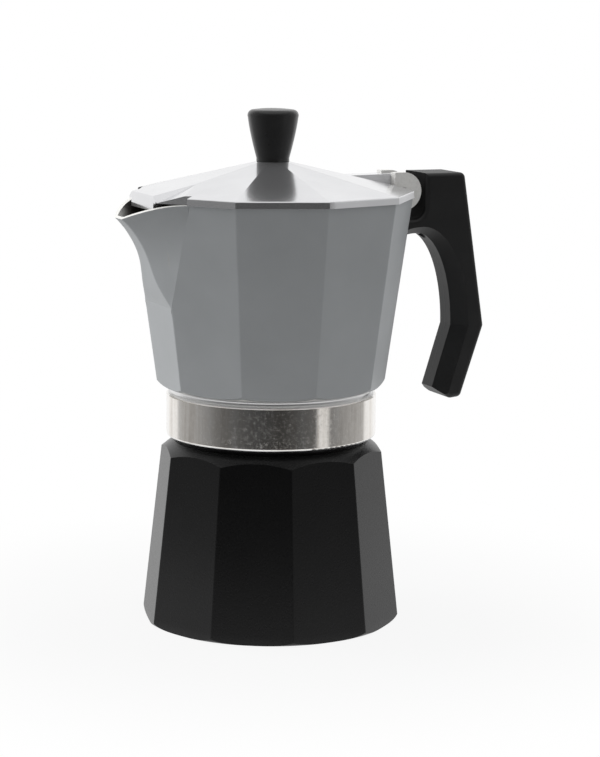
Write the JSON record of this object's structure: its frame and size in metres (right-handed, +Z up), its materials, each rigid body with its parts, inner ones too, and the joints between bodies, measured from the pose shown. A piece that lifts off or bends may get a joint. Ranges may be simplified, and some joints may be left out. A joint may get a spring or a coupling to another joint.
{
  "type": "stove-top coffee pot",
  "caption": "Faceted stove-top coffee pot: black boiler, grey collector with a pouring spout, hinged pyramid lid with a knob, and an angular black handle.",
  "frame": {"origin": "centre of the flat foot that the pot stands on", "axes": "+Z up along the pot's axis, +X towards the handle, spout towards -X"},
  "size_m": [0.1467, 0.109, 0.1949],
  "materials": {
    "boiler_paint": "satin black paint over cast aluminium",
    "collector_paint": "satin grey paint over cast aluminium, with a bare turned collar",
    "polished_aluminium": "polished",
    "bare_aluminium": "satin",
    "handle_plastic": "satin black",
    "knob_plastic": "soft gloss black",
    "brass": "turned",
    "steel": "bright",
    "seal": "matt",
    "fibre": "matt"
  },
  "bodies": {
    "boiler": {"boiler": "boiler_paint", "valve_body": "brass", "valve_washer": "fibre", "valve_cap": "brass", "valve_spring": "steel"},
    "funnel": {"funnel": "bare_aluminium", "basket_screen": "bare_aluminium"},
    "collector": {"collector": "collector_paint", "gasket": "seal", "filter_plate": "bare_aluminium", "hinge_pin": "steel", "handle": "handle_plastic", "handle_washer": "steel", "handle_screw": "steel"},
    "lid": {"lid": "polished_aluminium", "knob": "knob_plastic", "knob_insert": "brass", "knob_washer": "steel", "knob_screw": "steel"},
    "valve_plunger": {"valve_plunger": "brass"}
  },
  "joints": [
    {"name": "collector_turn", "type": "hinge", "parent": "boiler", "child": "funnel", "pos_m": [0, 0, 0.08], "axis": [0, 0, 1], "range_deg": [0, 900]},
    {"name": "collector_lift", "type": "slide", "parent": "funnel", "child": "collector", "axis": [0, 0, 1], "range_m": [0, 0.0075]},
    {"name": "lid_hinge", "type": "hinge", "parent": "collector", "child": "lid", "pos_m": [0.0508, 0, 0.1632], "axis": [0, 1, 0], "range_deg": [0, 96]},
    {"name": "valve_lift", "type": "slide", "parent": "boiler", "child": "valve_plunger", "axis": [0.4942, 0.8628, 0.1064], "range_m": [0, 0.0015], "stiffness_N_per_m": 1500, "springref_m": -0.002, "deforming": ["valve_spring"]}
  ],
  "couplings": [
    {"joint": "collector_lift", "follows": "collector_turn", "m_per_rad": 0.00047746}
  ]
}
